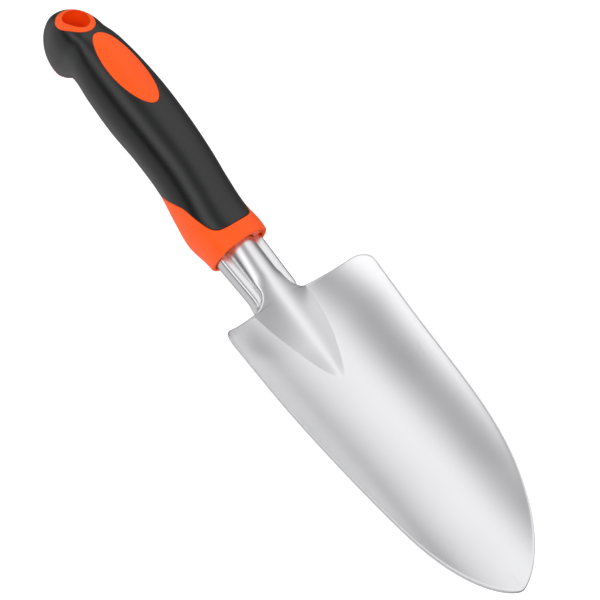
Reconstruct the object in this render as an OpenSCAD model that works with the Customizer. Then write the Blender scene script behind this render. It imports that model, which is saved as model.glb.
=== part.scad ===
// Hand trowel with a cast blade and a moulded two-colour handle.
// X runs along the tool towards the tip, and Z points up on the hollow side of the blade.
// Every section below is worked out from the blade's shoulders (X 0) and its rim (Z 0);
// placed() then moves the whole tool onto its origin.

/* [Blade] */
// Length of the blade from its shoulders to its tip
blade_length = 164; // [145:1:180]
// Width of the blade across its shoulders
blade_width = 82.6; // [76:0.2:90]
// Radius of the rounded shoulders
shoulder_radius = 8; // [4:0.5:12]
// Radius of the hollow across the blade
hollow_radius = 60; // [58:1:80]
// Depth of the hollow at the shoulders
hollow_depth = 16.5; // [13:0.5:18]
// How much shallower the floor is near the tip
floor_rise = 6; // [3:0.5:8]
// How much the floor turns up at the tip
tip_lift = 1.8; // [0:0.1:4]
// How much the floor dips at the rear edge
rear_dip = 3.3; // [0:0.5:5]
// Thickness of the cast plate
plate = 2.4; // [1.8:0.1:3.2]

/* [Crest and neck] */
// Length of the raised crest on the blade
crest_length = 42.5; // [34:0.5:50]
// Half width of the crest at the rear edge of the blade
crest_half_width = 15; // [13:0.1:16]
// Radius of the round part of the neck
neck_radius = 11.2; // [10.6:0.1:11.6]
// How much wider the neck's radius is at the collar
neck_swell = 0.5; // [0:0.1:0.8]
// Length of neck seen between the blade and the collar
neck_length = 31; // [28:1:40]
// Length over which the underside of the neck fades into the blade
keel_length = 60; // [45:1:75]

/* [Handle] */
// Length of the handle from the collar's mouth to the end of the tail
handle_length = 134.7; // [130:0.1:140]
// Thickness of the soft sleeve over the core
sleeve_wall = 2.6; // [2:0.1:3]
// Length of the tang behind the neck
tang_length = 66; // [50:1:70]
// Thickness of the tang
tang_thick = 8; // [6:0.5:8.5]

/* [Thumb pad] */
// Length of the thumb pad
pad_length = 42; // [34:1:46]
// Width of the thumb pad
pad_width = 16; // [12:0.5:18]
// Distance of the pad's middle behind the collar's mouth
pad_back = 91; // [85:1:94]
// Height of the pad's crown above the sleeve
pad_crown = 0.5; // [0.2:0.1:1]

/* [Hang hole] */
// Radius of the hang hole
hole_radius = 5.3; // [4:0.1:5.6]
// Radius of the eyelet that lines it
eyelet_radius = 8.2; // [7.6:0.1:8.4]
// Distance of the hole's foot behind the collar's mouth
hole_back = 118.4; // [117:0.1:119]
// Angle by which the top of the hole leans back
hole_lean = 12; // [8:0.5:14]

/* [Hidden] */

// Small gap that keeps two curved faces from biting into each other
fit = 0.05;
// Room between the inside of the collar and the core
collar_room = 0.15;

// ---- Outline and floor of the blade
side_taper = 0.13;
tip_power = 5;
tip_round = 0.7;
level_length = 30;
rise_end = 0.74 * blade_length;
tip_start = 0.72 * blade_length;

// ---- Steps of a section: half a ring runs from the top centre round to the bottom centre
crest_steps = 8;
wing_steps = 8;
under_steps = 7;
belly_steps = 9;
half_steps = crest_steps + wing_steps + under_steps + belly_steps;
ring_steps = 2 * half_steps;

// ---- Handle stations: distance behind the collar's mouth, half width, top, bottom, squareness
stations = [
    [0, 14.6, -2.8, -31.4, 2.1],
    [5, 14.9, -2.5, -31.8, 2.1],
    [16, 14.8, -3.1, -35.2, 2.1],
    [28.5, 14.3, 0, -32.4, 2.1],
    [41, 14.2, 3.1, -27.4, 2.1],
    [58, 14.8, 5.1, -25.2, 2.1],
    [76, 15.3, 5.8, -25.8, 2.1],
    [93, 14.6, 5, -24.8, 2.1],
    [105.5, 13.1, 3.6, -24.4, 2.2],
    [110.5, 12.3, 2.2, -30.4, 2.6],
    [115.5, 11.7, 0.2, -34, 2.7],
    [135, 11.5, -4.4, -31.6, 2.4]
];
// Length of the domed end of the tail
dome_length = 16.7;
dome_start = handle_length - dome_length;

// ---- Parting line of the collar: angle from the top, distance behind the mouth
parting = [[-30, 8.3], [0, 8], [30, 8.8], [44, 11.5], [56, 19], [72, 28], [122, 40.5], [180, 45], [210, 45]];

// ---- Inside the handle
core_front = 6;
core_end = 114;
core_dome = 8;
tang_tilt = 5.5;
tang_drop = -18.6;
tang_width = 13;
tang_taper = 0.03;

// ---- Height of the hang hole's foot, and how far its egg reaches towards the thumb pad
hole_foot = -33;
egg_reach = 2.6;

// ---- Neck, crest and web
neck_axis = -18;
neck_wide = 1.06;
neck_flat = 0.82;
groove_half = 7.4;
groove_z = -14.8;
ridge_z = -8.3;
ridge_arch = 1;
ridge_round = 0.3;
back_power = 0.8;
crest_power = 1.6;
crest_round = 0.8;
junction_angle = 84;
web_start = -10.5;
rear_bow = 3;
dip_length = 22;
dip_power = 1.2;
lobe_power = 4;

// ---- Origin: middle of the tool's box in X and Y, lowest point in Z
shift_x = (neck_length + handle_length - blade_length) / 2;
lift_z = -stations[2][3];

function blend(a, b, t) = a + (b - a) * t;
function unit(t) = min(1, max(0, t));
function reversed(list) = [for (i = [len(list) - 1:-1:0]) list[i]];
function ease(t) = let (c = unit(t)) c * c * (3 - 2 * c);

// Smooth value of one column of a table of stations, at a distance along its first column
function slope(table, col, i) =
    let (a = max(0, i - 1), b = min(len(table) - 1, i + 1))
    (table[b][col] - table[a][col]) / (table[b][0] - table[a][0]);
function span(table, d, i = 0) =
    i >= len(table) - 2 || d <= table[i + 1][0] ? i : span(table, d, i + 1);
function along(table, col, d) =
    let (i = span(table, d), w = table[i + 1][0] - table[i][0], t = (d - table[i][0]) / w)
    (2 * t ^ 3 - 3 * t ^ 2 + 1) * table[i][col] + (t ^ 3 - 2 * t ^ 2 + t) * w * slope(table, col, i)
    + (3 * t ^ 2 - 2 * t ^ 3) * table[i + 1][col] + (t ^ 3 - t ^ 2) * w * slope(table, col, i + 1);

// ---- Blade surface
function half_width(x) =
    let (t = unit(x / blade_length), r = shoulder_radius, c = max(0, r - x))
    blade_width / 2 * (1 - side_taper * t) * (1 - t ^ tip_power) ^ tip_round - (r - sqrt(r ^ 2 - c ^ 2));
function floor_z(x) =
    -hollow_depth + floor_rise * ease((x - level_length) / (rise_end - level_length))
    + tip_lift * ease((x - tip_start) / (blade_length - tip_start));
function dip(x) = rear_dip * unit((dip_length - x) / (dip_length + rear_bow)) ^ dip_power;
function hollow_z(x, y) =
    floor_z(x) + hollow_radius - sqrt(hollow_radius ^ 2 - y ^ 2)
    - dip(x) * (1 - (2 * y / blade_width) ^ 2);
function under_z(x, y) = hollow_z(x, y) - plate;

// Plan of the crest, and the height of its ridge
function crest_edge(x) =
    x < web_start ? groove_half
    : x < -rear_bow ? blend(groove_half, crest_half_width,
        1 - sqrt(1 - ((x - web_start) / (-rear_bow - web_start)) ^ 2))
    : crest_half_width * (1 - unit((x + rear_bow) / (crest_length + rear_bow)) ^ crest_power) ^ crest_round;
function ridge_height(x) =
    let (s = unit((x + rear_bow) / (crest_length + rear_bow)))
    blend(ridge_z, -hollow_depth, unit((x + neck_length) / (neck_length + crest_length)))
    + ridge_arch * 4 * s * (1 - s);
function band(x) =
    max(crest_edge(x), min(2 + 6 * ease((x - crest_length) / 50), half_width(x) * 0.4));
// Height across the ridge: a round back on the neck, a rounded ridge with straight flanks on the crest
function bell(t, x) =
    let (c = ridge_round)
    blend((1 - t ^ 2) ^ back_power, 1 - (norm([t, c]) - c) / (norm([1, c]) - c), ease((x + 20) / 20));

// ---- Half of a section of the casting, as stretches of [x, y, z] points
function crest_points(x) =
    let (edge = x > -rear_bow ? band(x) : crest_edge(x),
         foot = blend(groove_z, hollow_z(x, edge), ease((x - web_start) / (-rear_bow - web_start))))
    [for (i = [0:crest_steps - 1]) let (y = edge * i / crest_steps)
        x > crest_length ? [x, y, hollow_z(x, y)]
        : [x, y, max(x > -rear_bow ? hollow_z(x, y) : -99,
             foot + (ridge_height(x) - foot) * bell(y / edge, x))]];

function neck_reach(x) = neck_radius + neck_swell * ease((-x - 8) / (neck_length - 8));
function neck_point(r, a) = [neck_wide * r * sin(a), neck_axis + neck_flat * r * cos(a)];
function lobe_point(x, s) =
    neck_point(neck_reach(x) - (neck_reach(x) - groove_reach) * (1 - s) ^ lobe_power,
        blend(groove_angle, junction_angle, s));
groove_foot = [groove_half / neck_wide, (groove_z - neck_axis) / neck_flat];
groove_angle = atan2(groove_foot[0], groove_foot[1]);
groove_reach = norm(groove_foot);

function keel_half(x) =
    min(neck_wide * neck_radius * sin(junction_angle) * (1 - 0.25 * ease((x + rear_bow) / keel_length)),
        half_width(x) * 0.4);
function wing_points(x, tip) =
    let (edge = band(x), root = keel_half(x))
    concat(
        [for (i = [0:wing_steps]) let (y = blend(edge, tip, i / wing_steps)) [x, y, hollow_z(x, y)]],
        [for (i = [0:under_steps - 2]) let (y = blend(tip, root, i / (under_steps - 1)))
            [x, y, under_z(x, y)]]);
function lobe_points(x) =
    [for (i = [0:wing_steps + under_steps - 1])
        let (p = lobe_point(x, i / (wing_steps + under_steps))) [x, p[0], p[1]]];
// Depth of the keel under the plate: the neck's underside, which fades out along the blade
function keel_drop(x, fade) =
    max(0, fade * (neck_flat * neck_radius - neck_axis - hollow_depth - plate) - dip(x));
function belly_points(x) =
    let (fade = 1 - ease((x + rear_bow) / keel_length), root = keel_half(max(x, 0)),
         web = ease((x - web_start) / (-rear_bow - web_start)))
    [for (i = [0:belly_steps])
        let (a = blend(junction_angle, 180, i / belly_steps),
             p = neck_point(neck_reach(x), a),
             y = root * blend(1 - i / belly_steps, sin(a) / sin(junction_angle), fade),
             z = under_z(x, y) - keel_drop(x, fade)
                 * (cos(junction_angle) - cos(a)) / (1 + cos(junction_angle)))
        [x, blend(p[0], y, web), blend(p[1], z, web)]];

// Full ring from half a section, which runs from the top centre to the bottom centre
function mirrored(half) =
    concat(half, [for (i = [len(half) - 2:-1:1]) [half[i][0], -half[i][1], half[i][2]]]);

// Web that flares out of the neck into the rear edge of the blade, drawn down to its lower corner
function web_points(x) =
    let (tip = crest_half_width + 0.3, root = keel_half(0), low = under_z(x, tip))
    concat(
        [[x, crest_half_width, hollow_z(x, crest_half_width)]],
        [for (i = [1:wing_steps]) [x, tip, low + 0.05 * (wing_steps - i)]],
        [for (i = [1:under_steps - 1]) let (y = blend(tip, root, i / under_steps))
            [x, y, under_z(x, y)]]);
function neck_ring(x) =
    let (t = ease((x - web_start) / (-rear_bow - web_start)),
         web = web_points(x), lobe = lobe_points(x),
         side = [for (i = [0:len(lobe) - 1]) t > 0 ? blend(lobe[i], web[i], t) : lobe[i]])
    mirrored(concat(crest_points(x), side, belly_points(x)));
function bowed(p, x) =
    let (w = crest_half_width, h = half_width(0), out = unit((abs(p[1]) - w) / (h - w)))
    [p[0] - rear_bow * (1 - out) * unit(1 - x / 20), p[1], p[2]];
function blade_ring(x) =
    let (half = concat(crest_points(x), wing_points(x, half_width(x)), belly_points(x)))
    [for (p = mirrored(half)) bowed(p, x)];

// ---- Handle surface: a point at a distance behind the mouth, and at an angle from the top
function signed_power(v, e) = sign(v) * abs(v) ^ e;
function dome(d, start, length) = d <= start ? 1 : sqrt(max(0, 1 - ((d - start) / length) ^ 2));
function handle_point(d, angle, inset = 0, cap = 1) =
    let (k = cap * dome(d, dome_start, dome_length), e = 2 / along(stations, 4, d),
         top = along(stations, 2, d), bottom = along(stations, 3, d), mid = (top + bottom) / 2,
         a = along(stations, 1, d) - inset, b = (top - bottom) / 2 - inset)
    [-neck_length - d, k * a * signed_power(sin(angle), e), mid + k * b * signed_power(cos(angle), e)];
function ring_angle(i) = 360 * i / ring_steps;
function handle_ring(d, inset = 0, cap = 1) =
    [for (i = [0:ring_steps - 1]) handle_point(d, ring_angle(i), inset, cap)];
function parting_back(angle) = along(parting, 1, 180 - abs(180 - angle));
// Ring that lies part of the way from the parting line to a distance behind the mouth
function parted_ring(t, d, inset = 0) =
    [for (i = [0:ring_steps - 1]) let (a = ring_angle(i))
        handle_point(blend(parting_back(a), d, t), a, inset)];

// Top of the handle at a place on its plan
function handle_top(x, y, inset = 0) =
    let (d = -neck_length - x, n = along(stations, 4, d), top = along(stations, 2, d),
         bottom = along(stations, 3, d), a = along(stations, 1, d) - inset,
         b = (top - bottom) / 2 - inset)
    (top + bottom) / 2 + b * (1 - abs(y / a) ^ n) ^ (1 / n);

// Distances of the rings round a domed end
function dome_rings(start, length, count) = [for (i = [1:count]) start + length * sin(84 * i / count)];

// ---- Solids
// Closed solid through rings of equal count; a looped one also joins its last ring to its first
module loft(rings, looped = false) {
    n = len(rings[0]);
    m = len(rings);
    sides = [for (i = [0:(looped ? m : m - 1) - 1], j = [0:n - 1])
        let (k = (i + 1) % m, l = (j + 1) % n)
        each [[i * n + j, k * n + j, k * n + l], [i * n + j, k * n + l, i * n + l]]];
    ends = looped ? [] : [[for (j = [0:n - 1]) j], [for (j = [n - 1:-1:0]) (m - 1) * n + j]];
    polyhedron(points = [for (r = rings) each r], faces = concat(sides, ends));
}

module placed() { translate([shift_x, 0, lift_z]) children(); }

// Flat tang with two pairs of notches, which key it into the core
module tang() {
    back = tang_length;
    half = tang_width / 2;
    side = [for (x = [3, -12, -14, -20, -22, -38, -40, -46, -48, -back + 3, -back])
        [x, half + tang_taper * x]];
    notch = 1.8;
    outline = [for (i = [0:len(side) - 1])
        side[i] - [0, i == 2 || i == 3 || i == 6 || i == 7 ? notch : i == len(side) - 1 ? 2.5 : 0]];
    translate([-neck_length - core_front, 0, tang_drop])
        rotate([0, tang_tilt, 0])
            linear_extrude(height = tang_thick, center = true)
                polygon(concat(outline, [for (i = [len(outline) - 1:-1:0]) [outline[i][0], -outline[i][1]]]));
}

module hole_axis() {
    translate([-neck_length - hole_back, 0, hole_foot]) rotate([0, -hole_lean, 0]) children();
}

// Egg-shaped prism along the hang hole, wider towards the thumb pad
module along_hole(length, spread = 0) {
    hole_axis()
        linear_extrude(height = length, center = true)
            polygon([for (a = [0:9:351])
                (eyelet_radius + spread + egg_reach * max(0, cos(a)) ^ 4) * [cos(a), sin(a)]]);
}

module pad_window(spread = 0) {
    translate([-neck_length - pad_back, 0, -8])
        linear_extrude(height = 30)
            polygon([for (a = [0:9:351])
                [(pad_length / 2 + spread) * cos(a), (pad_width / 2 + spread) * sin(a)]]);
}

module blade() {
    neck_x = [for (d = [core_front, 0, -6, -12, -17]) -neck_length - d];
    web_x = [for (t = [0:0.2:1]) blend(web_start, -rear_bow - fit, t)];
    corner_x = [for (a = [0:15:90]) shoulder_radius * (1 - cos(a))];
    crest_x = [for (i = [1:9]) blend(shoulder_radius, crest_length, i / 9)];
    floor_x = [for (i = [1:9]) blend(crest_length, tip_start, i / 9)];
    tip_x = [for (a = [8:8:72]) blend(tip_start, blade_length, sin(a))];
    last_x = [for (s = [0.9925, 0.997, 0.9992]) blade_length * s];
    color("gainsboro")
        placed() union() {
            loft(reversed(concat(
                [for (x = concat(neck_x, web_x)) neck_ring(x)],
                [for (x = concat(corner_x, crest_x, floor_x, tip_x, last_x)) blade_ring(x)])));
            tang();
        }
}

module core() {
    inset = sleeve_wall + fit;
    straight = core_end - core_dome;
    color("dimgray")
        placed() difference() {
            loft(concat([for (i = [0:24]) handle_ring(blend(core_front, straight, i / 24), inset)],
                        [for (d = dome_rings(straight, core_dome, 5))
                            handle_ring(d, inset, dome(d, straight, core_dome))]));
            tang();
            along_hole(90, fit);
        }
}

module front_collar() {
    lip = [[0, 1.5], [0.3, 0.6], [1.2, 0]];
    color("orangered")
        placed() loft(concat(
            [neck_ring(-neck_length - core_front), neck_ring(-neck_length)],
            [for (p = lip) handle_ring(p[0], p[1])],
            [for (t = [11:-1:0]) [for (i = [0:ring_steps - 1]) let (a = ring_angle(i))
                handle_point(blend(parting_back(a) - fit, 3, t / 12), a)]],
            [for (t = [0:8]) [for (i = [0:ring_steps - 1])
                let (a = ring_angle(i), d = blend(parting_back(a) - fit, core_front, t / 8))
                handle_point(d, a, sleeve_wall - collar_room)]]),
            looped = true);
}

module grip_sleeve() {
    straight = core_end - core_dome;
    color([0.16, 0.16, 0.17])
        placed() difference() {
            loft(concat(
                [for (i = [5:-1:1]) let (d = dome_rings(straight, core_dome, 5)[i - 1])
                    handle_ring(d, sleeve_wall, dome(d, straight, core_dome))],
                [for (t = [1:-1 / 18:-0.01]) parted_ring(max(t, 0), straight, sleeve_wall)],
                [for (t = [0:1 / 32:1.01]) parted_ring(min(t, 1), dome_start)],
                [for (d = dome_rings(dome_start, dome_length, 8)) handle_ring(d)]));
            along_hole(90, fit);
            pad_window(fit);
        }
}

module thumb_pad() {
    place = [-neck_length - pad_back, 0];
    around = [for (a = [0:9:351]) [pad_length / 2 * cos(a), pad_width / 2 * sin(a)]];
    rings = concat(
        [for (k = [0.02, 0.35, 0.7, 1]) [for (p = around) let (q = place + k * p)
            [q[0], q[1], handle_top(q[0], q[1], sleeve_wall - fit)]]],
        [for (k = [1, 0.97, 0.85, 0.6, 0.3, 0.02]) [for (p = around) let (q = place + k * p)
            [q[0], q[1], handle_top(q[0], q[1]) + pad_crown * (1 - k ^ 6)]]]);
    color("orangered") placed() loft(rings);
}

module hang_eyelet() {
    color("orangered")
        placed() difference() {
            intersection() {
                loft(concat([for (d = [100:3:dome_start]) handle_ring(d, -0.2)],
                            [for (d = dome_rings(dome_start, dome_length, 8)) handle_ring(d, -0.2)]));
                along_hole(90);
            }
            hole_axis() cylinder(h = 120, r = hole_radius, center = true, $fn = 64);
            hole_axis() translate([0, 0, 26.5])
                cylinder(h = 8, r1 = hole_radius, r2 = hole_radius + 3.2, $fn = 64);
        }
}

blade();
core();
front_collar();
grip_sleeve();
thumb_pad();
hang_eyelet();
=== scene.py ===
"""Hand trowel: a bright cast blade with a leaf-shaped crest, and a two-colour moulded grip."""

import functools
import math

import bmesh
import bpy
from mathutils import Matrix, Vector


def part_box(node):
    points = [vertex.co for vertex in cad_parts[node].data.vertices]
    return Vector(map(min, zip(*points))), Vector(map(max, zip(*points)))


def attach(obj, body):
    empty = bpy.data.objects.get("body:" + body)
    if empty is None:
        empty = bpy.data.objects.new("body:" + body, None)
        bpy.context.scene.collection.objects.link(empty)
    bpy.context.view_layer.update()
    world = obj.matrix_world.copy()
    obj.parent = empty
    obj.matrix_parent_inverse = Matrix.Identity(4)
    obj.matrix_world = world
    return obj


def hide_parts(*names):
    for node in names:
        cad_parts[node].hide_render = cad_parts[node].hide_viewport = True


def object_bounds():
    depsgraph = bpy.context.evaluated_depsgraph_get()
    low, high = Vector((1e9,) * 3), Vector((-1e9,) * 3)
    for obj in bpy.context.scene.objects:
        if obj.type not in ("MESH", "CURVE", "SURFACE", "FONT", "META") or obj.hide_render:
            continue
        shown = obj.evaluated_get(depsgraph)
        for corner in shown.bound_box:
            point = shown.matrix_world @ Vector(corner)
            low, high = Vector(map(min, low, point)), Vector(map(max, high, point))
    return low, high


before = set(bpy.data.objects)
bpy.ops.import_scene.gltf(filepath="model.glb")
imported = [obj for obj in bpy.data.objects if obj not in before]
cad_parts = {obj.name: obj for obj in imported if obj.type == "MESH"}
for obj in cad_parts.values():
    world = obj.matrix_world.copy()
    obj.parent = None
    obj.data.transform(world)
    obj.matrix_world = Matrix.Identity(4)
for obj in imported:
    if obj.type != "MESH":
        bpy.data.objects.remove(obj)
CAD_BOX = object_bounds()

# ---- Sizes, in millimetres. X runs to the blade's tip from its shoulders, and Z up from its rim.
MM = 0.001
WELD = 2e-7
SMALLEST = 0.01

BLADE_LENGTH = 164
BLADE_WIDTH = 82.6
TIP_END = 0.9992 * BLADE_LENGTH
SHOULDER_RADIUS = 8
HOLLOW_RADIUS = 60
HOLLOW_DEPTH = 16.5
FLOOR_RISE = 6
TIP_LIFT = 1.8
PLATE = 2.4
RIM_ROUND = 1.1
RIM_SHARE = 0.8
REAR_BOW = 3
REAR_DIP = 3.3
DIP_LENGTH = 22
DIP_POWER = 1.2
SIDE_TAPER = 0.13
TIP_POWER = 5
TIP_ROUND = 0.7
LEVEL_LENGTH = 30
RISE_END = 0.74 * BLADE_LENGTH
TIP_START = 0.72 * BLADE_LENGTH

CREST_LENGTH = 42.5
CREST_HALF = 15
CREST_POWER = 1.6
CREST_ROUND = 0.8
WEB_START = -10.5
SPREAD_START = -16
RIDGE_Z = -8.3
RIDGE_ARCH = 1
RIDGE_ROUND = 0.3
BACK_POWER = 0.8
KEEL_LENGTH = 60
KEEL_TAPER = 0.25
KEEL_LIMIT = 0.4
FAINT_KEEL = 0.02
BACK_FADE = 20
LEAF_THICKNESS = 0.6 * PLATE
LEAF_GAP = 0.4

NECK_LENGTH = 31
NECK_AXIS = -18
NECK_RADIUS = 11.2
NECK_SWELL = 0.5
SWELL_START = 8
NECK_WIDE = 1.06
NECK_FLAT = 0.82
GROOVE_HALF = 7.4
GROOVE_Z = -14.8
GROOVE_ANGLE = math.atan2(GROOVE_HALF / NECK_WIDE, (GROOVE_Z - NECK_AXIS) / NECK_FLAT)
GROOVE_REACH = math.hypot(GROOVE_HALF / NECK_WIDE, (GROOVE_Z - NECK_AXIS) / NECK_FLAT)
LOBE_END = math.radians(84)
LOBE_POWER = 4
LOBE_DROP = 5.8
DROP_POWER = 5
LOBE_EASE = 0.3
MERGE_LENGTH = 6

HANDLE_LENGTH = 134.7
SLEEVE_WALL = 2.6
CORE_FRONT = 6
CORE_END = 114
CORE_DOME = 8
DOME_LENGTH = 16.7
DOME_START = HANDLE_LENGTH - DOME_LENGTH
DOME_TURN = math.radians(84)

PAD_LENGTH = 42
PAD_WIDTH = 16
PAD_BACK = 91
PAD_CROWN = 0.5

HOLE_RADIUS = 5.3
EYELET_RADIUS = 8.2
EYELET_POINT = 2.6
EYELET_POWER = 4
EYELET_RING = 2.7
HOLE_BACK = 118.4
HOLE_FOOT = -33
HOLE_LEAN = math.radians(12)
TOP_PROUD = 0.15
LOW_PROUD = 1.0
LOW_ROUND = 0.6
HOLE_ROOM = 0.08
PAD_ROOM = 0.12

# Handle stations: distance behind the collar's mouth, half width, top, bottom, squareness
STATIONS = [
    (0, 14.6, -2.8, -31.4, 2.1),
    (5, 14.9, -2.5, -31.8, 2.1),
    (16, 14.8, -3.1, -35.2, 2.1),
    (28.5, 14.3, 0, -32.4, 2.1),
    (41, 14.2, 3.1, -27.4, 2.1),
    (58, 14.8, 5.1, -25.2, 2.1),
    (76, 15.3, 5.8, -25.8, 2.1),
    (93, 14.6, 5, -24.8, 2.1),
    (105.5, 13.1, 3.6, -24.4, 2.2),
    (110.5, 12.3, 2.2, -30.4, 2.6),
    (115.5, 11.7, 0.2, -34, 2.7),
    (135, 11.5, -4.4, -31.6, 2.4),
]
# Parting line of the collar: angle from the top, distance behind the mouth
PARTING = [
    (-30, 8.3), (0, 8), (30, 8.8), (44, 11.5), (56, 19), (72, 28), (122, 40.5), (180, 45), (210, 45),
]

# The frame says where the tool lies: its blade ends a hair short of its full length, with a blunt
# tip, and its box stands on the floor
TIP_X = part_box("blade")[1].x
LOWEST = min(row[3] for row in STATIONS)
ORIGIN = Vector((TIP_X - TIP_END * MM, 0, CAD_BOX[0].z - LOWEST * MM))


# ---- Small maths
def clamp(value, low=0.0, high=1.0):
    return min(high, max(low, value))


def blend(a, b, t):
    return a + (b - a) * t


def ease(t):
    t = clamp(t)
    return t * t * (3 - 2 * t)


def steps(start, end, count, shape=lambda t: t):
    """Values from start to end, both of them in it, spread by a function of the share."""
    return [blend(start, end, shape(i / count)) for i in range(count + 1)]


def along(table, column, d):
    """Smooth value of one column of a table of stations, at a distance along its first column."""
    last = len(table) - 1
    i = next((k for k in range(last - 1) if d <= table[k + 1][0]), last - 1)

    def slope(k):
        a, b = table[max(0, k - 1)], table[min(last, k + 1)]
        return (b[column] - a[column]) / (b[0] - a[0])

    w = table[i + 1][0] - table[i][0]
    t = (d - table[i][0]) / w
    return (
        (2 * t**3 - 3 * t**2 + 1) * table[i][column]
        + (t**3 - 2 * t**2 + t) * w * slope(i)
        + (3 * t**2 - 2 * t**3) * table[i + 1][column]
        + (t**3 - t**2) * w * slope(i + 1)
    )


def signed_power(value, exponent):
    return math.copysign(abs(value) ** exponent, value)


# ---- Meshes
def surface(columns, rows, place):
    """Grid of columns by rows, whose point (i, j) a function puts in place in millimetres."""
    bm = bmesh.new()
    bmesh.ops.create_grid(bm, x_segments=columns, y_segments=rows, size=0.5)
    for vert in bm.verts:
        i = round((vert.co.x + 0.5) * columns)
        j = round((vert.co.y + 0.5) * rows)
        vert.co = ORIGIN + Vector(place(i, j)) * MM
    bmesh.ops.remove_doubles(bm, verts=bm.verts, dist=WELD)
    return bm


def closed(bm):
    """Fills the open ends, drops faces of no size and points every face outwards."""
    open_edges = [e for e in bm.edges if e.is_boundary]
    if open_edges:
        bmesh.ops.holes_fill(bm, edges=open_edges, sides=0)
    bmesh.ops.dissolve_degenerate(bm, dist=WELD, edges=bm.edges)
    bmesh.ops.recalc_face_normals(bm, faces=bm.faces)
    return bm


def mesh_object(name, bm, crease=40):
    """Smooth-shaded object from a bmesh, with edges past an angle left sharp."""
    mesh = bpy.data.meshes.new(name)
    bm.to_mesh(mesh)
    bm.free()
    mesh.shade_smooth()
    mesh.set_sharp_from_angle(angle=math.radians(crease))
    obj = bpy.data.objects.new(name, mesh)
    bpy.context.scene.collection.objects.link(obj)
    return obj


def cut(obj, cutter):
    """Takes a cutter's space out of an object and removes the cutter."""
    modifier = obj.modifiers.new("cut", "BOOLEAN")
    modifier.operation = "DIFFERENCE"
    modifier.solver = "EXACT"
    modifier.object = cutter
    bpy.context.view_layer.update()
    graph = bpy.context.evaluated_depsgraph_get()
    mesh = bpy.data.meshes.new_from_object(obj.evaluated_get(graph))
    mesh.name = obj.name
    obj.modifiers.clear()
    obj.data = mesh
    bpy.data.objects.remove(cutter)


def made_of(obj, material, node=None):
    """Gives a piece its material and slot, lets it ride on the tool and stand for a CAD node."""
    obj.data.materials.clear()
    obj.data.materials.append(material)
    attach(obj, "root")
    if node:
        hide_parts(node)
    return obj


# ---- Blade plate
def half_width(x):
    t = clamp(x / BLADE_LENGTH)
    short = clamp(SHOULDER_RADIUS - x, 0, SHOULDER_RADIUS)
    corner = SHOULDER_RADIUS - math.sqrt(SHOULDER_RADIUS**2 - short**2)
    return BLADE_WIDTH / 2 * (1 - SIDE_TAPER * t) * (1 - t**TIP_POWER) ** TIP_ROUND - corner


def floor_z(x):
    rise = ease((x - LEVEL_LENGTH) / (RISE_END - LEVEL_LENGTH))
    lift = ease((x - TIP_START) / (BLADE_LENGTH - TIP_START))
    return -HOLLOW_DEPTH + FLOOR_RISE * rise + TIP_LIFT * lift


def dip(x):
    return REAR_DIP * clamp((DIP_LENGTH - x) / (DIP_LENGTH + REAR_BOW)) ** DIP_POWER


def hollow_z(x, y):
    bowl = floor_z(x) + HOLLOW_RADIUS - math.sqrt(HOLLOW_RADIUS**2 - y**2)
    return bowl - dip(x) * (1 - (2 * y / BLADE_WIDTH) ** 2)


def outline():
    """Half of the blade's outline in plan, from the middle of its rear edge to its tip."""
    corner = half_width(0)
    rear = [
        (-REAR_BOW * (1 - clamp((y - CREST_HALF) / (corner - CREST_HALF))), y)
        for y in steps(0, corner, 30)
    ]
    turn = steps(0, SHOULDER_RADIUS, 14, lambda t: 1 - math.cos(t * math.pi / 2))
    side = steps(SHOULDER_RADIUS, TIP_START, 60)
    nose = steps(TIP_START, TIP_END, 44, lambda t: math.sin(t * math.pi / 2))
    edge = rear + [(x, half_width(x)) for x in turn[1:] + side[1:] + nose[1:]] + [(TIP_END, 0)]
    return [Vector(p) for p in edge]


def blade_plate():
    """Dished plate with a rounded rim: rays run from a spine to the rim and back underneath."""
    edge = outline()
    count = len(edge) - 1
    top, rim, under = 30, 10, 18
    spine_start, spine_end = 16, BLADE_LENGTH - 10

    def mirrored(k):
        p = edge[k if 0 <= k <= count else (-k if k < 0 else 2 * count - k)]
        return Vector((p.x, -p.y)) if k < 0 or k > count else p

    def point(i, j):
        k = i if i <= count else 2 * count - i
        side = 1 if i <= count else -1
        along_rim = (mirrored(k + 1) - mirrored(k - 1)).normalized()
        out = Vector((-along_rim.y, along_rim.x))
        base = edge[k] - RIM_ROUND * out
        spine = Vector((clamp(base.x, spine_start, spine_end), 0))
        if j <= top:
            p, up = spine.lerp(base, j / top), 1
        elif j < top + rim:
            a = blend(90, -90, (j - top) / rim)
            p = base + RIM_ROUND * math.cos(math.radians(a)) ** RIM_SHARE * out
            up = signed_power(math.sin(math.radians(a)), RIM_SHARE)
        else:
            p, up = base.lerp(spine, (j - top - rim) / under), -1
        return p.x, side * p.y, hollow_z(p.x, p.y) + PLATE / 2 * (up - 1)

    return closed(surface(2 * count, top + rim + under, point))


# ---- Crest: a ridge that runs out of the collar, curls out to the rear edge and ends as a leaf
def web_share(x):
    """How far along the web a place is: 0 on the neck, 1 from the blade's rear edge on."""
    return clamp((x - WEB_START) / (-REAR_BOW - WEB_START))


def curl(x):
    """Share of the way out that the crest's edge has curled: a quarter round."""
    return 1 - math.sqrt(1 - web_share(x) ** 2)


def crest_edge(x):
    if x < -REAR_BOW:
        return blend(GROOVE_HALF, CREST_HALF, curl(x))
    t = clamp((x + REAR_BOW) / (CREST_LENGTH + REAR_BOW))
    return CREST_HALF * (1 - t**CREST_POWER) ** CREST_ROUND


def spread(x):
    """Half width that the ridge's flanks aim for: it widens more gently than the curled edge."""
    if x > -REAR_BOW:
        return crest_edge(x)
    return blend(GROOVE_HALF, CREST_HALF, ease((x - SPREAD_START) / (-REAR_BOW - SPREAD_START)))


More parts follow.
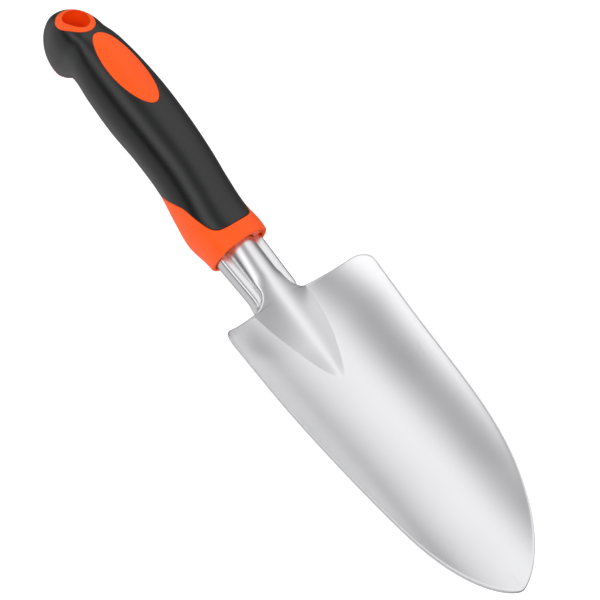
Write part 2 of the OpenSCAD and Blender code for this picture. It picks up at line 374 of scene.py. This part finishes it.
def crest_foot(x):
    if x > -REAR_BOW:
        return hollow_z(x, crest_edge(x))
    share = ease((x - SPREAD_START) / (-REAR_BOW - SPREAD_START))
    return blend(GROOVE_Z, hollow_z(-REAR_BOW, CREST_HALF), share)


def ridge_height(x):
    s = clamp((x + REAR_BOW) / (CREST_LENGTH + REAR_BOW))
    line = blend(RIDGE_Z, -HOLLOW_DEPTH, clamp((x + NECK_LENGTH) / (NECK_LENGTH + CREST_LENGTH)))
    return line + RIDGE_ARCH * 4 * s * (1 - s)


def bell(t, x):
    """Height across the ridge: a round back on the neck, a rounded ridge with straight flanks after."""
    back = (1 - t**2) ** BACK_POWER
    leaf = 1 - (math.hypot(t, RIDGE_ROUND) - RIDGE_ROUND) / (math.hypot(1, RIDGE_ROUND) - RIDGE_ROUND)
    return blend(back, leaf, ease((x + BACK_FADE) / BACK_FADE))


def crest_z(x, y):
    foot = crest_foot(x)
    share = clamp(abs(y) / max(SMALLEST, spread(x)))
    return foot + (ridge_height(x) - foot) * bell(share, x)


def crest():
    """Ridge and leaf in one shell, whose lip shows where the edge curls and sinks in elsewhere."""
    neck = [(x, GROOVE_HALF, 0) for x in steps(-NECK_LENGTH - CORE_FRONT, WEB_START, 20)]
    web = [
        (blend(WEB_START, -REAR_BOW, math.sin(a)), blend(GROOVE_HALF, CREST_HALF, 1 - math.cos(a)), a)
        for a in steps(0, math.pi / 2, 22)
    ]
    leaf = [(x, crest_edge(x), 0) for x in steps(-REAR_BOW + LEAF_GAP, CREST_LENGTH, 64)]
    stations = neck + web[1:] + leaf
    top, lip, under = 34, 10, 8
    half = top + lip + under

    def point(i, j):
        x, edge, a = stations[i]
        side, j = (1, j) if j <= half else (-1, 2 * half - j)
        on_leaf = i >= len(stations) - len(leaf)
        thick = LEAF_THICKNESS if on_leaf else PLATE
        out = Vector((-math.sin(a), math.cos(a)))
        rim = Vector((x, edge))
        base = rim - (0 if on_leaf else RIM_ROUND) * out
        centre = Vector((x, 0))
        if j <= top:
            p = centre.lerp(base, j / top)
            return p.x, side * p.y, crest_z(p.x, p.y)
        if j < top + lip:
            turn = math.radians(blend(90, -90, (j - top) / lip))
            p = base.lerp(rim, math.cos(turn) ** RIM_SHARE)
            up = signed_power(math.sin(turn), RIM_SHARE)
            skin = crest_z(p.x, p.y) if up > 0 else crest_z(x, edge)
            return p.x, side * p.y, skin + thick / 2 * (up - 1)
        p = base.lerp(centre, (j - top - lip) / under)
        return p.x, side * p.y, crest_z(x, edge) - thick

    return closed(surface(len(stations) - 1, 2 * half, point))


# ---- Neck: lobes on both sides of the ridge, a round belly, and a keel that fades out under the blade
def neck_reach(x):
    return NECK_RADIUS + NECK_SWELL * ease((-x - SWELL_START) / (NECK_LENGTH - SWELL_START))


def round_point(reach, a):
    return Vector((NECK_WIDE * reach * math.sin(a), NECK_AXIS + NECK_FLAT * reach * math.cos(a)))


def keel_half(x):
    root = NECK_WIDE * NECK_RADIUS * math.sin(LOBE_END)
    return min(root * (1 - KEEL_TAPER * ease((x + REAR_BOW) / KEEL_LENGTH)), half_width(x) * KEEL_LIMIT)


CAP_STEPS, LOBE_STEPS, BELLY_STEPS = 6, 30, 36
HALF_STEPS = CAP_STEPS + LOBE_STEPS + BELLY_STEPS


def neck_point(x, j):
    """Point j of half a section, from the top's middle round to the bottom of the neck."""
    web = web_share(x)
    past = ease((x + REAR_BOW) / MERGE_LENGTH)
    root = keel_half(max(x, 0))
    if j <= CAP_STEPS + LOBE_STEPS:
        s = max(0, (j - CAP_STEPS) / LOBE_STEPS)
        reach = neck_reach(x) - (neck_reach(x) - GROOVE_REACH) * (1 - s) ** LOBE_POWER
        lobe = round_point(reach, blend(GROOVE_ANGLE, LOBE_END, s))
        lobe.x *= min(1, j / CAP_STEPS)
        lobe.y -= LOBE_DROP * web**DROP_POWER * (1 - LOBE_EASE * s)
        y = root * j / (CAP_STEPS + LOBE_STEPS)
        return lobe.lerp(Vector((y, hollow_z(x, y) - PLATE / 2)), past)
    s = (j - CAP_STEPS - LOBE_STEPS) / BELLY_STEPS
    a = blend(LOBE_END, math.pi, s)
    fade = 1 - ease((x + REAR_BOW) / KEEL_LENGTH)
    y = root * blend(1 - s, math.sin(a) / math.sin(LOBE_END), fade)
    drop = max(0, fade * (NECK_FLAT * NECK_RADIUS - NECK_AXIS - HOLLOW_DEPTH - PLATE) - dip(x))
    depth = (math.cos(LOBE_END) - math.cos(a)) / (1 + math.cos(LOBE_END))
    sink = PLATE if fade > FAINT_KEEL else PLATE / 2
    keel = Vector((y, hollow_z(x, y) - sink - drop * depth))
    return round_point(neck_reach(x), a).lerp(keel, ease(web))


def neck_outline(j):
    """Point j of half the outline that the neck and its ridge have together at the collar."""
    x, ridge, lobe = -NECK_LENGTH, 24, 18
    if j <= ridge:
        y = GROOVE_HALF * j / ridge
        return y, crest_z(x, y)
    if j <= ridge + lobe:
        return tuple(neck_point(x, CAP_STEPS + LOBE_STEPS * (j - ridge) / lobe))
    share = (j - ridge - lobe) / (HALF_STEPS - ridge - lobe)
    return tuple(neck_point(x, CAP_STEPS + LOBE_STEPS + BELLY_STEPS * share))


def neck():
    fine_end = 6
    stations = (
        steps(-NECK_LENGTH - CORE_FRONT, WEB_START, 18)
        + steps(WEB_START, -REAR_BOW, 18)[1:]
        + steps(-REAR_BOW, fine_end, 14)[1:]
        + steps(fine_end, KEEL_LENGTH - REAR_BOW, 36)[1:]
    )

    def point(i, j):
        side, j = (1, j) if j <= HALF_STEPS else (-1, 2 * HALF_STEPS - j)
        p = neck_point(stations[i], j)
        return stations[i], side * p.x, p.y

    return closed(surface(len(stations) - 1, 2 * HALF_STEPS, point))


# ---- Handle
AROUND = 2 * HALF_STEPS


def dome(d, start, length):
    return 1 if d <= start else math.sqrt(max(0, 1 - ((d - start) / length) ** 2))


@functools.lru_cache(maxsize=None)
def section(d):
    """Half width, top, bottom and squareness of the handle, at a distance behind the mouth."""
    return tuple(along(STATIONS, column, d) for column in (1, 2, 3, 4))


def handle_point(d, angle, inset=0, cap=1):
    """Point of the handle's skin, at a distance behind the mouth and an angle from the top."""
    k = cap * dome(d, DOME_START, DOME_LENGTH)
    half, top, bottom, square = section(round(d, 4))
    power = 2 / square
    y = k * (half - inset) * signed_power(math.sin(angle), power)
    z = (top + bottom) / 2 + k * ((top - bottom) / 2 - inset) * signed_power(math.cos(angle), power)
    return -NECK_LENGTH - d, y, z


def handle_skin(x, y, face=1, inset=0):
    """Height of the handle's top (face 1) or underside (face -1) at a place on its plan."""
    d = -NECK_LENGTH - x
    k = dome(d, DOME_START, DOME_LENGTH)
    half, top, bottom, square = section(round(d, 4))
    out = clamp(abs(y) / max(SMALLEST, k * (half - inset)))
    rise = k * ((top - bottom) / 2 - inset) * (1 - out**square) ** (1 / square)
    return (top + bottom) / 2 + face * rise


def parting(angle):
    turn = 180 - abs(180 - math.degrees(angle))
    return along(PARTING, 1, turn)


def ring_angle(j):
    return math.tau * (j % AROUND) / AROUND


EDGE_ROUND = 0.5
LIP_ROUND = 1.0
PARTING_GAP = 0.1
# Inside of the collar's mouth: depth behind its front, gap to the neck
MOUTH = [(CORE_FRONT, 0.7), (1.6, 0.7), (1.3, 1.0)]
# Angles between which the sleeve's inner dome runs, the first of them nearest its closed end
INNER_DOME = (math.radians(88), 0.15)


def front_collar():
    """Collar round the neck: a recessed mouth, a rounded lip and an edge along the parting line."""
    lip = [
        (LIP_ROUND * (1 - math.cos(a)), LIP_ROUND * (1 - math.sin(a)))
        for a in steps(-math.pi / 2, math.pi / 2, 12)
    ]
    band = 40
    turn = steps(0, math.pi / 2, 5)
    inner = 4

    def point(i, j):
        a = ring_angle(j)
        if i < len(MOUTH):
            depth, gap = MOUTH[i]
            side = 1 if j <= HALF_STEPS else -1
            y, z = neck_outline(j if side > 0 else AROUND - j)
            wide = 1 + gap / NECK_RADIUS
            return -NECK_LENGTH - depth, side * y * wide, NECK_AXIS + (z - NECK_AXIS) * wide
        i -= len(MOUTH)
        if i < len(lip):
            return handle_point(lip[i][0], a, lip[i][1])
        i -= len(lip)
        back = parting(a) - PARTING_GAP
        if i < band:
            return handle_point(blend(LIP_ROUND, back - EDGE_ROUND, (i + 1) / band), a)
        i -= band
        if i < len(turn):
            return handle_point(
                back - EDGE_ROUND * (1 - math.sin(turn[i])), a, EDGE_ROUND * (1 - math.cos(turn[i]))
            )
        i -= len(turn)
        return handle_point(blend(back, CORE_FRONT, i / inner), a, SLEEVE_WALL)

    rows = len(MOUTH) + len(lip) + band + len(turn) + inner + 1
    return closed(surface(rows, AROUND, lambda i, j: point(i % rows, j)))


def grip_sleeve():
    """Soft sleeve over the core, cup-shaped, with a rounded edge along the parting line."""
    straight = CORE_END - CORE_DOME
    caps = [straight + CORE_DOME * math.sin(a) for a in steps(*INNER_DOME, 6)]
    inner, outer, tail = 24, 210, 30
    turn = steps(math.pi / 2, 0, 5)

    def point(i, j):
        a = ring_angle(j)
        if i < len(caps):
            return handle_point(caps[i], a, SLEEVE_WALL, dome(caps[i], straight, CORE_DOME))
        i -= len(caps)
        front = parting(a)
        if i <= inner:
            return handle_point(blend(straight, front, i / inner), a, SLEEVE_WALL)
        i -= inner + 1
        if i < len(turn):
            return handle_point(
                front + EDGE_ROUND * (1 - math.sin(turn[i])), a, EDGE_ROUND * (1 - math.cos(turn[i]))
            )
        i -= len(turn)
        if i < outer:
            return handle_point(blend(front + EDGE_ROUND, DOME_START, (i + 1) / outer), a)
        share = (i - outer + 1) / tail
        return handle_point(DOME_START + DOME_LENGTH * math.sin(share * DOME_TURN), a)

    rows = len(caps) + inner + 1 + len(turn) + outer + tail - 1
    return closed(surface(rows, AROUND, point))


def prism(count, radius, low, high, lean=0, centre=(0, 0, 0)):
    """Upright prism whose plan point is a function of the angle, leaned back about its centre."""
    bm = bmesh.new()
    bmesh.ops.create_circle(bm, segments=count, radius=1, cap_ends=True)
    for vert in bm.verts:
        a = math.atan2(vert.co.y, vert.co.x)
        vert.co = Vector((*radius(a), low)) * MM
    top = bmesh.ops.extrude_face_region(bm, geom=bm.faces[:])["geom"]
    moved = [g for g in top if isinstance(g, bmesh.types.BMVert)]
    bmesh.ops.translate(bm, verts=moved, vec=(0, 0, (high - low) * MM))
    for vert in bm.verts:
        x, z = vert.co.x, vert.co.z
        vert.co.x = x * math.cos(lean) - z * math.sin(lean)
        vert.co.z = x * math.sin(lean) + z * math.cos(lean)
    bmesh.ops.translate(bm, verts=bm.verts, vec=ORIGIN + Vector(centre) * MM)
    return closed(bm)


def egg(a, spread=0):
    """Radius of the eyelet's egg-shaped plan, pointed towards the thumb pad."""
    return EYELET_RADIUS + spread + EYELET_POINT * max(0, math.cos(a)) ** EYELET_POWER


def hole_prism():
    return prism(
        count=120,
        radius=lambda a: (egg(a, HOLE_ROOM) * math.cos(a), egg(a, HOLE_ROOM) * math.sin(a)),
        low=-40,
        high=50,
        lean=HOLE_LEAN,
        centre=(-NECK_LENGTH - HOLE_BACK, 0, HOLE_FOOT),
    )


def pad_prism():
    half, wide = PAD_LENGTH / 2 + PAD_ROOM, PAD_WIDTH / 2 + PAD_ROOM
    return prism(
        count=160,
        radius=lambda a: (half * math.cos(a), wide * math.sin(a)),
        low=-4,
        high=20,
        centre=(-NECK_LENGTH - PAD_BACK, 0, 0),
    )


def thumb_pad():
    """Oval inlay with a soft crown and a rounded edge."""
    around = 120
    edge, inward, proud = 0.45, 0.055, 0.2
    below = [(share, SLEEVE_WALL, 0) for share in (0, 0.3, 0.6, 0.9, 1)]
    turn = [
        (1 - inward * (1 - math.cos(a)), 0, -edge * (1 - math.sin(a)) + proud)
        for a in steps(0, math.pi / 2, 6)
    ]
    crown = [
        (share, 0, proud + (PAD_CROWN - proud) * (1 - share**2))
        for share in steps(1 - inward, 0, 22)[1:]
    ]
    profile = below + turn + crown

    def point(i, j):
        share, inset, up = profile[i]
        a = math.tau * j / around
        x = -NECK_LENGTH - PAD_BACK + share * PAD_LENGTH / 2 * math.cos(a)
        y = share * PAD_WIDTH / 2 * math.sin(a)
        return x, y, handle_skin(x, y, inset=inset) + up

    return closed(surface(len(profile) - 1, around, point))


def hang_eyelet():
    """Egg-shaped bush through the tail, with an oval mouth at the top and rounded edges."""
    around = 120
    rim_round, mouth_round, bore_depth, hidden = 0.5, 0.8, 9, 3
    start_height, tries, damping = 30, 12, 0.8
    turn = steps(0, math.pi / 2, 5)
    lean = Vector((-math.sin(HOLE_LEAN), 0, math.cos(HOLE_LEAN)))
    across = Vector((math.cos(HOLE_LEAN), 0, math.sin(HOLE_LEAN)))
    foot = Vector((-NECK_LENGTH - HOLE_BACK, 0, HOLE_FOOT))

    def spot(a, radius, face, drop):
        """Point at a radius from the hole's axis, a little above or below the skin."""
        p = foot + radius * math.cos(a) * across + Vector((0, radius * math.sin(a), 0))
        height = start_height if face > 0 else 0
        for _ in range(tries):
            q = p + height * lean
            height += (handle_skin(q.x, q.y, face) - q.z) / lean.z * damping
        return p + (height - face * drop) * lean

    @functools.lru_cache(maxsize=None)
    def profile(j):
        a = math.tau * j / around
        outer, mouth = egg(a), egg(a) - EYELET_RING

        def rim_edge(t):
            radius = outer - rim_round * (1 - math.cos(t))
            return spot(a, radius, 1, rim_round * (1 - math.sin(t)) - TOP_PROUD)

        def mouth_edge(t):
            radius = mouth + mouth_round * math.cos(t)
            return spot(a, radius, 1, mouth_round * (1 - math.sin(t)) - TOP_PROUD)

        def low_edge(radius, way, t):
            radius += way * (LOW_ROUND * (1 - math.cos(t)))
            return spot(a, radius, -1, LOW_ROUND * (1 - math.sin(t)) - LOW_PROUD)

        top = [rim_edge(t) for t in turn]
        ends = (outer - rim_round, mouth + mouth_round)
        top += [spot(a, blend(*ends, s), 1, -TOP_PROUD) for s in (0.33, 0.67)]
        top += [mouth_edge(t) for t in turn[::-1]]
        bore = [top[-1].lerp(spot(a, HOLE_RADIUS, 1, bore_depth), s) for s in (0.25, 0.5, 0.75, 1)]
        low = [spot(a, HOLE_RADIUS, -1, hidden)]
        low += [low_edge(HOLE_RADIUS, 1, t) for t in turn]
        low += [low_edge(outer, -1, t) for t in turn[::-1]]
        low += [spot(a, outer, -1, hidden)]
        return top + bore + low

    rows = len(profile(0))
    return closed(surface(rows, around, lambda i, j: profile(j % around)[i % rows]))


# ---- Materials
class Socket:
    """A node's output, with the sums and products of shader maths written as Python."""

    def __init__(self, tree, output):
        self.tree = tree
        self.output = output

    def math(self, operation, a, b=0.0):
        return node(self.tree, "ShaderNodeMath", {"operation": operation}, {0: a, 1: b})

    def __add__(self, other):
        return self.math("ADD", self, other)

    def __mul__(self, other):
        return self.math("MULTIPLY", self, other)

    __radd__ = __add__
    __rmul__ = __mul__


def node(tree, kind, settings=None, inputs=None, output=0):
    """Makes a node, sets it up, feeds its sockets with values or links, and returns an output."""
    made = tree.nodes.new(kind)
    for name, value in (settings or {}).items():
        if name == "stops":
            while len(made.color_ramp.elements) < len(value):
                made.color_ramp.elements.new(0.5)
            for element, (place, colour) in zip(made.color_ramp.elements, value):
                element.position = place
                element.color = colour
        else:
            setattr(made, name, value)
    for key, value in (inputs or {}).items():
        if isinstance(value, Socket):
            tree.links.new(value.output, made.inputs[key])
        else:
            made.inputs[key].default_value = value
    return Socket(tree, made.outputs[output])


def noise(tree, place, scale, detail=3.0, roughness=0.5):
    return node(
        tree,
        "ShaderNodeTexNoise",
        None,
        {"Vector": place, "Scale": scale, "Detail": detail, "Roughness": roughness},
    )


def mixed(tree, share, a, b):
    """Colour between two colours."""
    return node(
        tree, "ShaderNodeMix", {"data_type": "RGBA"}, {"Factor": share, "A": a, "B": b}, "Result"
    )


def stretched(tree, place, scale):
    return node(
        tree, "ShaderNodeMapping", {"vector_type": "POINT"}, {"Vector": place, "Scale": scale}
    )


def material(name, build, **uniform):
    """Principled material: build returns its varying colour, roughness and bump height."""
    made = bpy.data.materials.new(name)
    made.use_nodes = True
    tree = made.node_tree
    shader = tree.nodes["Principled BSDF"]
    place = node(tree, "ShaderNodeTexCoord", output="Object")
    colour, roughness, height, distance = build(tree, place)
    for key, value in uniform.items():
        shader.inputs[key.replace("_", " ")].default_value = value
    tree.links.new(colour.output, shader.inputs["Base Color"])
    tree.links.new(roughness.output, shader.inputs["Roughness"])
    bump = node(tree, "ShaderNodeBump", None, {"Strength": 1.0, "Distance": distance, "Height": height})
    tree.links.new(bump.output, shader.inputs["Normal"])
    return made


# Darkest and lightest tone of each material, then the depth of each one's bumps in metres
METAL_TONES = ((0.80, 0.80, 0.81, 1), (0.88, 0.88, 0.885, 1))
RUBBER_TONES = ((0.003, 0.0032, 0.0034, 1), (0.0055, 0.0057, 0.006, 1))
ORANGE_TONES = ((0.98, 0.085, 0.003, 1), (1.0, 0.105, 0.006, 1))
CORE_TONES = ((0.16, 0.16, 0.17, 1), (0.22, 0.22, 0.23, 1))
METAL_BUMP = 0.00001
RUBBER_BUMP = 0.00003
ORANGE_BUMP = 0.00002
CORE_BUMP = 0.00003


def cast_aluminium(tree, place):
    """Bright satin casting: faint cloudy tone, fine lengthwise brushing and cast grain."""
    clouds = noise(tree, place, 28.0, 2.0)
    brushing = noise(tree, stretched(tree, place, (90.0, 2600.0, 2600.0)), 1.0, 2.0)
    grain = noise(tree, place, 1500.0, 2.0)
    colour = mixed(tree, clouds, *METAL_TONES)
    roughness = 0.22 + 0.10 * clouds + 0.05 * brushing
    return colour, roughness, 0.7 * brushing + 0.3 * grain, METAL_BUMP


def black_rubber(tree, place):
    """Soft black moulding with a fine spark-eroded texture and faint handling marks."""
    clouds = noise(tree, place, 45.0, 3.0)
    texture = noise(tree, place, 2600.0, 2.0, 0.6)
    colour = mixed(tree, clouds, *RUBBER_TONES)
    return colour, 0.22 + 0.08 * clouds + 0.04 * texture, texture, RUBBER_BUMP


def orange_plastic(tree, place):
    """Satin orange moulding with a faint flow tone and a fine texture."""
    clouds = noise(tree, place, 40.0, 2.0)
    texture = noise(tree, place, 2400.0, 2.0, 0.55)
    colour = mixed(tree, clouds, *ORANGE_TONES)
    return colour, 0.36 + 0.10 * clouds, texture, ORANGE_BUMP


def core_plastic(tree, place):
    clouds = noise(tree, place, 60.0)
    texture = noise(tree, place, 2000.0)
    colour = mixed(tree, clouds, *CORE_TONES)
    return colour, 0.5 + 0.1 * clouds, texture, CORE_BUMP


ALUMINIUM = material("cast aluminium", cast_aluminium, Metallic=1.0)
RUBBER = material("black rubber", black_rubber, Specular_IOR_Level=0.6)
ORANGE = material("orange plastic", orange_plastic, Specular_IOR_Level=0.3)
CORE = material("core plastic", core_plastic)

# ---- Pieces
made_of(mesh_object("blade_plate", blade_plate(), 50), ALUMINIUM, "blade")
made_of(mesh_object("neck", neck(), 40), ALUMINIUM)
made_of(mesh_object("crest", crest(), 40), ALUMINIUM)
made_of(mesh_object("front_collar_moulding", front_collar(), 50), ORANGE, "front_collar")
sleeve = mesh_object("soft_grip", grip_sleeve(), 50)
cut(sleeve, mesh_object("hole cutter", hole_prism()))
cut(sleeve, mesh_object("pad cutter", pad_prism()))
made_of(sleeve, RUBBER, "grip_sleeve")
made_of(mesh_object("thumb_inlay", thumb_pad(), 50), ORANGE, "thumb_pad")
made_of(mesh_object("hang_hole_bush", hang_eyelet(), 50), ORANGE, "hang_eyelet")
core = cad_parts["core"]
core.data.materials.clear()
core.data.materials.append(CORE)

# ---- Floor
FLOOR_HALF = 3.0
FLOOR_GAP = 0.0002
FLOOR_TONE = (0.25, 0.25, 0.25, 1)
FLOOR_ROUGHNESS = 0.9
FLOOR_GLOW = 0.95
floor_mesh = bmesh.new()
bmesh.ops.create_grid(floor_mesh, x_segments=1, y_segments=1, size=FLOOR_HALF)
bmesh.ops.translate(floor_mesh, verts=floor_mesh.verts, vec=(0, 0, CAD_BOX[0].z - FLOOR_GAP))
floor = mesh_object("floor", floor_mesh)
pale = bpy.data.materials.new("pale floor")
pale.use_nodes = True
pale_shader = pale.node_tree.nodes["Principled BSDF"]
pale_shader.inputs["Base Color"].default_value = FLOOR_TONE
pale_shader.inputs["Roughness"].default_value = FLOOR_ROUGHNESS
pale_shader.inputs["Emission Color"].default_value = (1, 1, 1, 1)
pale_shader.inputs["Emission Strength"].default_value = FLOOR_GLOW
floor.data.materials.append(pale)
floor.visible_glossy = False

# ---- Light and camera
MIDDLE = (CAD_BOX[0] + CAD_BOX[1]) / 2


def fill_light(name, direction, distance, size, power):
    """Large area light for the matt pieces, which the metal doesn't mirror."""
    data = bpy.data.lights.new(name, "AREA")
    data.shape = "SQUARE"
    data.size = size
    data.energy = power
    lamp = bpy.data.objects.new(name, data)
    bpy.context.scene.collection.objects.link(lamp)
    towards = Vector(direction).normalized()
    lamp.location = MIDDLE + towards * distance
    lamp.rotation_euler = (-towards).to_track_quat("-Z", "Y").to_euler()
    lamp.visible_glossy = False
    lamp.visible_camera = False


fill_light("fill", direction=(0.15, -0.4, 0.9), distance=1.5, size=1.2, power=8.0)

# Blue's share of the room's light
ROOM_BLUE = 1.01
# Brightness of the room round the tool's length: degrees up from the far side, over the top
ROOM = [
    (-180, 0.03), (-170, 0.6), (-110, 0.7), (-70, 0.15), (-10, 0.15), (0, 0.3), (12, 0.42), (22, 0.68),
    (40, 0.9), (60, 1.02), (80, 1.08), (92, 0.75), (104, 0.38), (116, 0.36), (126, 0.65), (137, 1.4),
    (152, 1.4), (162, 0.35), (170, 0.03), (180, 0.03),
]
world = bpy.data.worlds.new("studio")
world.use_nodes = True
room = world.node_tree
parts = node(room, "ShaderNodeSeparateXYZ", None, {0: node(room, "ShaderNodeTexCoord", output="Generated")})
up = Socket(room, parts.output.node.outputs["Z"])
far = Socket(room, parts.output.node.outputs["Y"])
turn_round = up.math("ARCTAN2", up, far) * (1 / math.tau) + 0.5
glow = node(
    room,
    "ShaderNodeValToRGB",
    {"stops": [((angle + 180) / 360, (level, level, level * ROOM_BLUE, 1)) for angle, level in ROOM]},
    {"Fac": turn_round},
)
room.links.new(glow.output, room.nodes["Background"].inputs["Color"])
room.nodes["Background"].inputs["Strength"].default_value = 1.0
bpy.context.scene.world = world
bpy.context.scene.view_settings.view_transform = "Standard"

LENS = 418
SENSOR_WIDTH = 36
CLIP_START = 0.1
CLIP_END = 20
camera_data = bpy.data.cameras.new("camera")
camera_data.lens = LENS
camera_data.sensor_width = SENSOR_WIDTH
camera_data.clip_start = CLIP_START
camera_data.clip_end = CLIP_END
camera = bpy.data.objects.new("camera", camera_data)
bpy.context.scene.collection.objects.link(camera)
CAMERA_RIGHT = Vector((0.6078, 0.7412, 0.2849))
CAMERA_UP = Vector((-0.7621, 0.4437, 0.4716))
CAMERA_BACK = Vector((0.2231, -0.5037, 0.8346))
AIM_SHIFT = Vector((0.0039, 0.0052, 0.00165))
AIM = MIDDLE + AIM_SHIFT
CAMERA_DISTANCE = 3.0
camera.location = AIM + CAMERA_BACK * CAMERA_DISTANCE
camera_axes = [Vector(row) for row in zip(CAMERA_RIGHT, CAMERA_UP, CAMERA_BACK)]
camera.rotation_mode = "QUATERNION"
camera.rotation_quaternion = Matrix(camera_axes).to_quaternion()
bpy.context.scene.camera = camera
